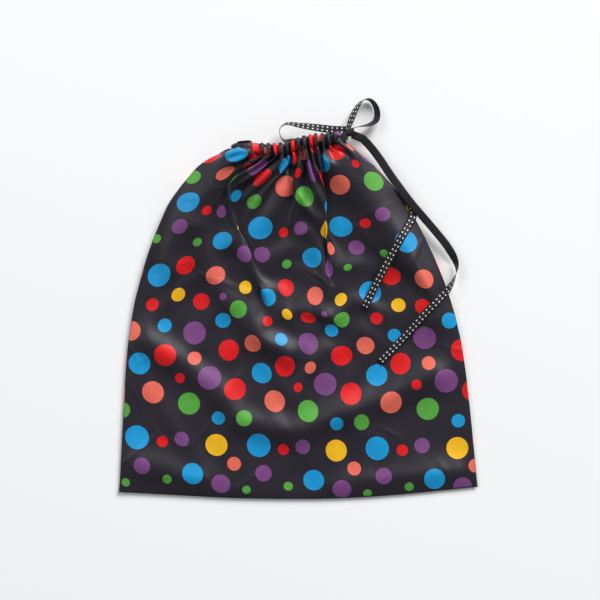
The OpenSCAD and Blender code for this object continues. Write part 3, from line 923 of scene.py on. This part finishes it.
# %% Thread
thread, tree, bsdf, place = open_material("black_thread")
ply = node(tree, "ShaderNodeTexWave", {"Vector": place, "Scale": 900.0, "Distortion": 1.5}).outputs["Fac"]
tone = place_group(tree, fibre_group, Place=place, Scale=1500.0, Amount=0.6)["Tone"]
# Painted shade: the colour darkens in the grooves between the plies and lightens on them, times the fibre's
# random tone.
ply_shade_and_tone = calc(tree, "MULTIPLY", calc(tree, "MULTIPLY_ADD", ply, 0.4, 0.8), tone)
tree.links.new(shaded(tree, linear(34, 33, 37), ply_shade_and_tone), bsdf["Base Color"])
tree.links.new(bump(tree, ply, 0.4, 0.05 * MM), bsdf["Normal"])
bsdf["Roughness"].default_value = 0.5
bsdf["Sheen Weight"].default_value = 0.2
print("thread", thread.name)

# %% Stitch tree
STITCH_SIZES = {"Stitch pitch": 2.4 * MM, "Stitch length": 1.9 * MM, "Thread thickness": 0.3 * MM}
ABOVE_FOOT = 0.3 * MM
OUT_OF_CLOTH = 0.1 * MM


def stitch_tree():
    """Geometry nodes that turn a line of edges into a row of stitches."""
    tree = bpy.data.node_groups.new("stitch_row", "GeometryNodeTree")
    tree.interface.new_socket("Geometry", in_out="INPUT", socket_type="NodeSocketGeometry")
    for label in STITCH_SIZES:
        tree.interface.new_socket(label, in_out="INPUT", socket_type="NodeSocketFloat")
    tree.interface.new_socket("Geometry", in_out="OUTPUT", socket_type="NodeSocketGeometry")
    given = tree.nodes.new("NodeGroupInput").outputs
    line = node(tree, "GeometryNodeMeshToCurve", {"Mesh": given["Geometry"]}).outputs[0]
    even = node(tree, "GeometryNodeResampleCurve", {"Curve": line, "Length": given["Stitch pitch"]},
                mode="LENGTH").outputs[0]
    along = node(tree, "GeometryNodeInputTangent").outputs[0]
    turned = node(tree, "FunctionNodeAlignRotationToVector", {"Vector": along}, axis="X").outputs[0]
    thick = given["Thread thickness"]
    size = node(tree, "ShaderNodeCombineXYZ", {0: given["Stitch length"], 1: thick, 2: thick}).outputs[0]
    bead = node(tree, "GeometryNodeMeshIcoSphere", {"Radius": 0.5, "Subdivisions": 2}).outputs[0]
    row = node(tree, "GeometryNodeInstanceOnPoints", {
        "Points": even, "Instance": bead, "Rotation": turned, "Scale": size}).outputs[0]
    real = node(tree, "GeometryNodeRealizeInstances", {0: row}).outputs[0]
    smooth = node(tree, "GeometryNodeSetShadeSmooth", {0: real}).outputs[0]
    sewn = node(tree, "GeometryNodeSetMaterial", {"Geometry": smooth, "Material": thread}).outputs[0]
    tree.links.new(sewn, tree.nodes.new("NodeGroupOutput").inputs[0])
    return tree


row_of_stitches = stitch_tree()


def stitch_row(name, side):
    line = on_gathers(np.c_[edge_x[side], foot_height(edge_x[side]) + ABOVE_FOOT, edge_z[side]])
    line[:, 2] += side * OUT_OF_CLOTH
    mesh = bpy.data.meshes.new(name)
    mesh.from_pydata(line.tolist(), [(k, k + 1) for k in range(COLUMNS)], [])
    piece = add_object(name, mesh)
    sewing = piece.modifiers.new("sewing", "NODES")
    sewing.node_group = row_of_stitches
    for item in row_of_stitches.interface.items_tree:
        if item.in_out == "INPUT" and item.name in STITCH_SIZES:
            sewing[item.identifier] = STITCH_SIZES[item.name]
    return freeze(piece)


front_stitches = stitch_row("front_stitches", 1)
back_stitches = stitch_row("back_stitches", -1)
print("stitch faces", len(front_stitches.data.polygons), len(back_stitches.data.polygons))

# %% [markdown]
# ## The ribbon's finish
# Grosgrain has fine ribs across it and a firm, slightly shiny surface. One face carries two rows of white
# pin dots and the other is plain black. Along the ribbon the UV map counts metres, so ribs and dots keep
# their size round every bend.

# %% Ribbon materials
RIBBON_MAP = "ribbon"
RIBBON_WIDTH = 6 * MM
RIBBON_THICKNESS = 0.4 * MM
RIB_PITCH = 0.75 * MM
PIN_PITCH = 3.7 * MM
PIN_ROW = 1.35 * MM
PIN_RADIUS = 0.6 * MM
PIN_EDGE = 0.1 * MM


def grosgrain(name, dotted):
    """One face of the ribbon, with or without the pin dots."""
    material, tree, bsdf, place = open_material(name, RIBBON_MAP)
    ribs = place_group(tree, rib_group, Ribbon=place, Pitch=RIB_PITCH)
    tone = place_group(tree, fibre_group, Place=place, Scale=700.0, Amount=0.4)["Tone"]
    # Painted shade between the ribs, times the fibre's random tone, darkens the ribbon's colour.
    shade = calc(tree, "MULTIPLY", ribs["Shade"], tone)
    face = linear(30, 29, 33)
    if dotted:
        axes = node(tree, "ShaderNodeSeparateXYZ", {0: place}).outputs
        along = calc(tree, "WRAP", axes[0], PIN_PITCH / 2, -PIN_PITCH / 2)
        across = calc(tree, "SUBTRACT", calc(tree, "ABSOLUTE", axes[1]), PIN_ROW)
        squares = [calc(tree, "POWER", part, 2.0) for part in (along, across)]
        reach = calc(tree, "SQRT", calc(tree, "ADD", *squares))
        inside = soft_step(tree, reach, PIN_RADIUS - PIN_EDGE, PIN_RADIUS + PIN_EDGE, 1.0, 0.0)
        face = blend_colour(tree, inside, face, linear(236, 235, 232))
    tree.links.new(shaded(tree, face, shade), bsdf["Base Color"])
    tree.links.new(calc(tree, "MULTIPLY", tone, 0.5), bsdf["Roughness"])
    tree.links.new(bump(tree, ribs["Height"], 0.6, 0.12 * MM), bsdf["Normal"])
    bsdf["Sheen Weight"].default_value = 0.15
    bsdf["Specular IOR Level"].default_value = 0.25
    return material


pin_dot = grosgrain("pin_dot_grosgrain", True)
plain_back = grosgrain("plain_grosgrain", False)
print("ribbon", pin_dot.name, plain_back.name)

# %% [markdown]
# ## Ribbon pieces
# A ribbon follows a line of points, and at each point its width has a direction. The direction is given
# as a roll: at 0 the ribbon lies flat, at 90 it stands on its edge, and from 0 to 180 it makes a half
# twist. The mesh has a row of points across the upper face and one across the lower face.

# %% Ribbon builder
ACROSS = 6
RIM = 0.8


def line_length(line):
    return float(np.linalg.norm(np.diff(line, axis=0), axis=1).sum())


def smooth_rows(rows, steps):
    """A smooth curve through rows of numbers, with steps between each two."""
    rows = np.asarray(rows, float)
    padded = np.vstack([rows[:1], rows, rows[-1:]])
    made = []
    for k in range(len(rows) - 1):
        a, b, c, d = padded[k:k + 4]
        for u in np.arange(steps) / steps:
            made.append(b + (c - a) * u / 2 + (2 * a - 5 * b + 4 * c - d) * u * u / 2
                        + (3 * b - a - 3 * c + d) * u ** 3 / 2)
    return np.array(made + [rows[-1]])


def ribbon_frames(rows):
    """Place, direction, width direction and face direction at each row of x, y, z and roll."""
    place, roll = rows[:, :3], np.radians(rows[:, 3])[:, None]
    ahead = np.gradient(place, axis=0)
    ahead /= np.linalg.norm(ahead, axis=1)[:, None]
    flat_side = np.cross([0, 0, 1], ahead)
    flat_side /= np.linalg.norm(flat_side, axis=1)[:, None]
    width = flat_side * np.cos(roll) + np.cross(ahead, flat_side) * np.sin(roll)
    return place, ahead, width, np.cross(ahead, width)


def ribbon_piece(name, rows, dotted_face, width_axis=None):
    """dotted_face is 1 where the dots are on the face that looks up at roll 0, and -1 on the other."""
    place, ahead, width, face = ribbon_frames(rows)
    if width_axis is not None:
        width = np.tile(width_axis, (len(rows), 1)) - ahead * (ahead @ width_axis)[:, None]
        width /= np.linalg.norm(width, axis=1)[:, None]
        face = np.cross(ahead, width)
    along = np.r_[0, np.cumsum(np.linalg.norm(np.diff(place, axis=0), axis=1))]
    rings, maps = [], []
    for half in (1, -1):
        for s in half * np.linspace(-1, 1, ACROSS + 1):
            rim = RIM + (1 - RIM) * math.sqrt(max(0, 1 - s ** 4))
            rings.append(place + width * s * RIBBON_WIDTH / 2 + face * half * rim * RIBBON_THICKNESS / 2)
            maps.append(np.c_[along, np.full(len(along), s * RIBBON_WIDTH / 2)])
    rings, maps = np.array(rings), np.array(maps)
    count, length = rings.shape[:2]
    ids = np.arange(count * length).reshape(count, length)
    after = np.roll(ids, -1, axis=0)
    walls = np.stack([ids[:, :-1], after[:, :-1], after[:, 1:], ids[:, 1:]], -1).reshape(-1, 4)
    end = np.array([(k, count - 1 - k, count - 2 - k, k + 1) for k in range(ACROSS)])
    faces = np.vstack([walls, ids[end, 0], ids[end[:, ::-1], -1]])
    upper = np.repeat(np.arange(count) <= ACROSS, length - 1)
    marks = np.r_[np.where(upper == (dotted_face > 0), 0, 1), np.ones(2 * ACROSS, int)]
    piece = mesh_piece(name, rings, faces, RIBBON_MAP, maps, [pin_dot, plain_back])
    piece.data.polygons.foreach_set("material_index", marks.tolist())
    return piece, place


print("ribbon width in mm", RIBBON_WIDTH / MM)

# %% [markdown]
# ## The run inside the casing
# The ribbon goes from the knot through the front casing, turns at the left end and comes back through
# the back casing. Only its two short ends beside the knot are seen.

# %% Run in the casing
KNOT = np.array([48.5, 4, 12.4]) * MM
EXIT_X = 42.5 * MM
TURN_STEPS = 25
STRAIGHT_STEPS = 29
FROM_KNOT = [(-2.4, -2, 1.3), (-4, -3.5, 3)]
turn_angle = np.linspace(0, math.pi, TURN_STEPS)
turn_points = np.c_[TURN_X - TURN_RADIUS * np.sin(turn_angle), np.zeros(TURN_STEPS),
                    MIDDLE_LEVEL + TURN_RADIUS * np.cos(turn_angle)]
straight = np.linspace(EXIT_X, TURN_X, STRAIGHT_STEPS + 1)[:-1]
level = np.zeros(STRAIGHT_STEPS)
leaving = KNOT + np.array(FROM_KNOT) * MM
arriving = KNOT + np.array(FROM_KNOT[::-1]) * (1, 1, -1) * MM
run_local = np.vstack([
    leaving, np.c_[straight, level, level + FRONT_LEVEL], turn_points,
    np.c_[straight[::-1], level, level + BACK_LEVEL], arriving,
])
run_rows = np.c_[on_gathers(run_local), np.zeros(len(run_local))]
up_casing = np.array([-math.sin(NECK_TILT), math.cos(NECK_TILT), 0])
run_ribbon, _ = ribbon_piece("ribbon_run", run_rows, 1, up_casing)
print("run length in mm", round(line_length(run_local) / MM))

# %% [markdown]
# ## The bow's loops
# Both loops start and end in the knot. The left one lies along the top of the gathers with its dotted
# face up. The right one stands on its edge, shows its dots on the way out and its plain back on the way
# home, and its far bend comes down to the table.

# %% Loops
LOOP_LEFT = [
    (-2, 1.8, 1.2, 0), (-7, 2.4, 1.4, 0), (-13, 3.4, 1.4, 5), (-24, 6, 1.4, 20), (-37, 9.2, 1.2, 45),
    (-46, 11.6, 0.6, 65), (-51, 10, -0.5, 80), (-53, 6, -1, 90), (-51, 0, -1.2, 105), (-45, -2.5, -1.4, 150),
    (-34, -3, -1.6, 180), (-18, -2, -1.6, 180), (-8, -1, -1.2, 180), (-2, 0, -0.8, 180),
]
LOOP_RIGHT = [
    (-0.8, 2.6, 0.5, 120), (2, 9, -0.6, 135), (6.5, 17, -3, 130), (12, 23.5, -6, 105), (17.5, 24.5, -8, 80),
    (21.5, 20.5, -9, 60), (23, 14, -9, 45), (21.5, 8, -7.6, 45), (16, 4.8, -5, 60), (8, 3.8, -2, 80),
    (2.2, 2.6, 0.6, 90),
]


def loop_rows(rows):
    """Places and rolls along a smooth curve, for rows that are given in mm from the knot."""
    curve = smooth_rows(rows, 8)
    return np.c_[from_neck(KNOT + curve[:, :3] * MM), curve[:, 3]]


loop_left, left_line = ribbon_piece("bow_loop_left_ribbon", loop_rows(LOOP_LEFT), 1)
loop_right, right_line = ribbon_piece("bow_loop_right_ribbon", loop_rows(LOOP_RIGHT), -1)
print("loops in mm", round(line_length(left_line) / MM), round(line_length(right_line) / MM))

# %% [markdown]
# ## The knot
# The knot is the ribbon itself, wrapped once round the foot of both loops and pulled tight. Loops, tails
# and the run in the casing all come out from under this band.

# %% Knot
KNOT_RADIUS = 3.0 * MM
KNOT_TILT = 0.6
WRAP_TURNS = 1.02
angle = np.linspace(0, 2 * math.pi * WRAP_TURNS, 49)
ring = np.c_[KNOT_TILT * np.sin(angle) * MM, KNOT_RADIUS * np.cos(angle), KNOT_RADIUS * np.sin(angle)]
wrap_rows = np.c_[from_neck(KNOT + ring), np.zeros(len(ring))]
along_neck = from_neck([1.0, 0, 0]) - from_neck([0.0, 0, 0])
knot_wrap, _ = ribbon_piece("bow_knot_wrap", wrap_rows, -1, along_neck)
print("knot radius in mm", KNOT_RADIUS / MM)

# %% [markdown]
# ## The tails
# Both loose ends leave the knot together and run down over the right shoulder. Their way over the table is
# fixed, and their height is not: they lie on the settled cloth. The height under each point is measured
# with rays from above, and the ribbon is then relaxed like a stiff chain that may not sink below it.

# %% Tails
TAIL_SHORT = [
    (10, -4.5, 0, 0), (16, -10.5, 0, 0), (23, -19.5, 0, 0), (33, -34.5, 0, 0), (42, -47, 0, 0),
    (47, -55, 0, 0), (48.5, -63, 0, 0), (44, -72, 0, 0), (38, -82, 0, 0), (24, -108, 0, 0), (11, -134, 0, 0),
]
TAIL_LONG = [
    (10, -4.5, 1, 0), (16, -10.5, 1, 0), (23, -19.5, 1, 0), (33, -34.5, 1, 0), (47, -53.5, 0.8, 0),
    (61, -69.5, 0.4, 0), (74, -85, 0.6, 0), (81, -97, 2, 45), (82, -106, 3, 90), (77, -117, 2, 135),
    (68, -127, 0.3, 180), (54, -142, 0, 180), (39, -159, 0, 180), (23, -175, 0, 180),
]
SAG_STEPS = 600
SAG_STEP = 0.012 * MM
AIR = 0.3 * MM
RAY_HEIGHT = 0.2
TAIL_START = from_neck(KNOT)


def height_under(spots, below):
    """Height of the highest piece under each spot, or 0 for the table."""
    found = np.zeros(len(spots))
    for piece in below:
        tree = BVHTree.FromObject(piece, bpy.context.evaluated_depsgraph_get())
        for k, (x, y) in enumerate(spots):
            hit = tree.ray_cast(Vector((x, y, RAY_HEIGHT)), Vector((0, 0, -1)))[0]
            if hit is not None:
                found[k] = max(found[k], hit.z)
    return found


def tail(name, rows, start_offset, dotted_face, below):
    """A tail along rows of x, y, lift and roll, which lies on the pieces below it."""
    start = TAIL_START + np.array(start_offset) * MM
    curve = smooth_rows(rows, 6)
    spots = TAIL_START[:2] + curve[:, :2] * MM
    side = np.gradient(spots, axis=0)
    side = np.c_[-side[:, 1], side[:, 0]] / np.linalg.norm(side, axis=1)[:, None]
    flatness = np.abs(np.cos(np.radians(curve[:, 3])))[:, None]
    lanes = [spots + side * flatness * s * RIBBON_WIDTH / 2 for s in (-1, -.5, 0, .5, 1)]
    floor = np.max([height_under(lane, below) for lane in lanes], axis=0)
    floor = floor + RIBBON_THICKNESS / 2 + AIR + curve[:, 2] * MM
    height = np.r_[start[2], np.maximum(floor, np.linspace(start[2], floor[-1], len(floor)))]
    for _ in range(SAG_STEPS):
        level = height.copy()
        level[1:-1] = 0.5 * height[1:-1] + 0.25 * (height[:-2] + height[2:]) - SAG_STEP
        height[1:] = np.maximum(level[1:], floor)
        height[0] = start[2]
    rows = np.c_[np.vstack([start[:2], spots]), height, np.r_[curve[0, 3], curve[:, 3]]]
    return ribbon_piece(name, rows, dotted_face)


under = [front_cloth, front_casing]
tail_short, short_line = tail("tail_short_ribbon", TAIL_SHORT, (2, -1.5, -1.2), 1, under)
tail_long, long_line = tail("tail_long_ribbon", TAIL_LONG, (2, -1.5, 0.2), -1, under + [tail_short])
print("tails in mm", round(line_length(short_line) / MM), round(line_length(long_line) / MM))

# %% [markdown]
# ## Table and light
# The photograph has a plain pale ground and soft light, strongest from the top and a little from the
# right. A wide lamp stands there like a window, a weaker one stands far off on the left, and the world
# fills the rest. A faint glow, which only the camera and reflections see, brings the table to the pale
# ground of the photograph and leaves its shadow.

# %% Table and light
TABLE_GLOW = 0.074
TABLE_REACH = 9
table = plate("table", TABLE_REACH)
pale, tree, bsdf, place = open_material("pale_table")
tone = place_group(tree, fibre_group, Place=place, Scale=3.0, Amount=0.02)["Tone"]
tree.links.new(shaded(tree, linear(247, 247, 247), tone), bsdf["Base Color"])
bsdf["Roughness"].default_value = 0.9
bsdf["Specular IOR Level"].default_value = 0.1
path = node(tree, "ShaderNodeLightPath").outputs
seen = calc(tree, "MAXIMUM", path["Is Camera Ray"], path["Is Glossy Ray"])
seen = calc(tree, "MAXIMUM", seen, path["Is Transmission Ray"])
glow = blend_colour(tree, seen, (0, 0, 0, 1), (TABLE_GLOW, TABLE_GLOW, TABLE_GLOW, 1))
tree.links.new(glow, bsdf["Emission Color"])
bsdf["Emission Strength"].default_value = 1
table.data.materials.append(pale)


def soft_lamp(name, place, size, power):
    """A square lamp that looks at the origin."""
    holder = add_object(name, bpy.data.lights.new(name, "AREA"))
    holder.data.size, holder.data.energy = size, power
    holder.location = place
    holder.rotation_euler = (-Vector(place)).to_track_quat("-Z", "Y").to_euler()


soft_lamp("window", (2.1, 3.7, 2.8), 2.6, 290)
soft_lamp("far window", (-3.2, 2, 3.5), 2.3, 56)
world = bpy.data.worlds.new("room")
scene.world = world
world.use_nodes = True
room = world.node_tree.nodes["Background"]
room.inputs["Color"].default_value = (0.9, 0.95, 1, 1)
room.inputs["Strength"].default_value = 0.22

# %% [markdown]
# ## What moves with what
# Pulling the bow slides the ribbon out of the casing to the right, and the left end of the neck comes with
# it. The ribbon pieces ride on the drawstring. On the real bag the cloth stays with the bag on the right and
# follows the drawstring on the upper left, with a smooth change between; here the cloth pieces only have
# their placement made part of their meshes. Each imported solid is hidden behind the piece that replaces it.

# %% Riding and replacing
for piece in (front_cloth, back_cloth, front_casing, back_casing, left_strip, right_strip, hem_strip,
              front_stitches, back_stitches):
    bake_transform(piece)
for piece in (run_ribbon, loop_left, loop_right, knot_wrap, tail_short, tail_long):
    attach(piece, "drawstring")
for piece, solid in (
        (front_cloth, "front_panel"), (back_cloth, "back_panel"), (front_casing, "front_casing"),
        (back_casing, "back_casing"), (left_strip, "left_seam"), (right_strip, "right_seam"),
        (hem_strip, "bottom_seam"), (front_stitches, "front_stitching"), (back_stitches, "back_stitching"),
        (run_ribbon, "drawstring_run"), (knot_wrap, "bow_knot"), (loop_left, "bow_loop_left"),
        (loop_right, "bow_loop_right"), (tail_short, "tail_short"), (tail_long, "tail_long")):
    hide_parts(solid)
